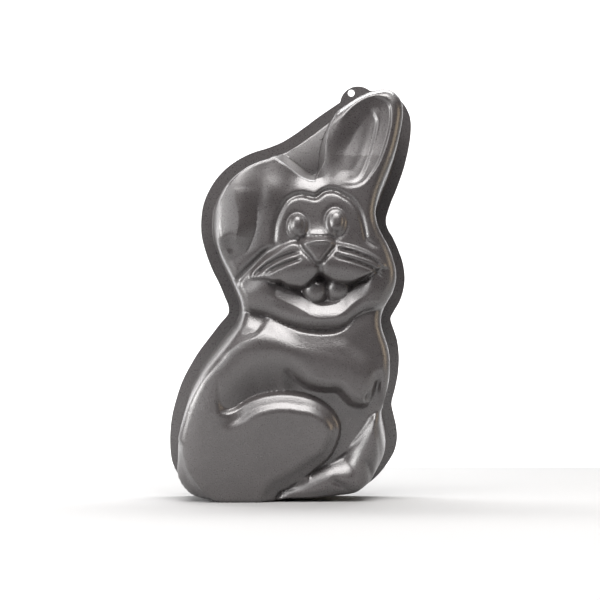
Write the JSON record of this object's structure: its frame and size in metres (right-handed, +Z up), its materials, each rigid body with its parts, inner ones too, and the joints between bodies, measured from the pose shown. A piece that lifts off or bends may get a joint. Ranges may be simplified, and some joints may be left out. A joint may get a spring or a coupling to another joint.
{
  "type": "rabbit cake mould",
  "caption": "Seated-rabbit cake mould: deep-drawn sheet steel with a flat rim, a hanging tab and a dark satin non-stick coating, relief side outward.",
  "frame": {"origin": "bottom centre of the bounding box, on the floor it stands on", "axes": "+Z up, +X to the viewer's right when looking at the relief, +Y toward the open back; the relief faces -Y and the rim plane leans forward by 11.2 degrees"},
  "size_m": [0.1842, 0.1128, 0.307],
  "materials": {
    "coated_steel": "dark grey satin non-stick coating with a fine grain"
  },
  "bodies": {
    "root": {"rim_flange": "coated_steel", "body_shell": "coated_steel", "head_shell": "coated_steel"}
  },
  "joints": []
}
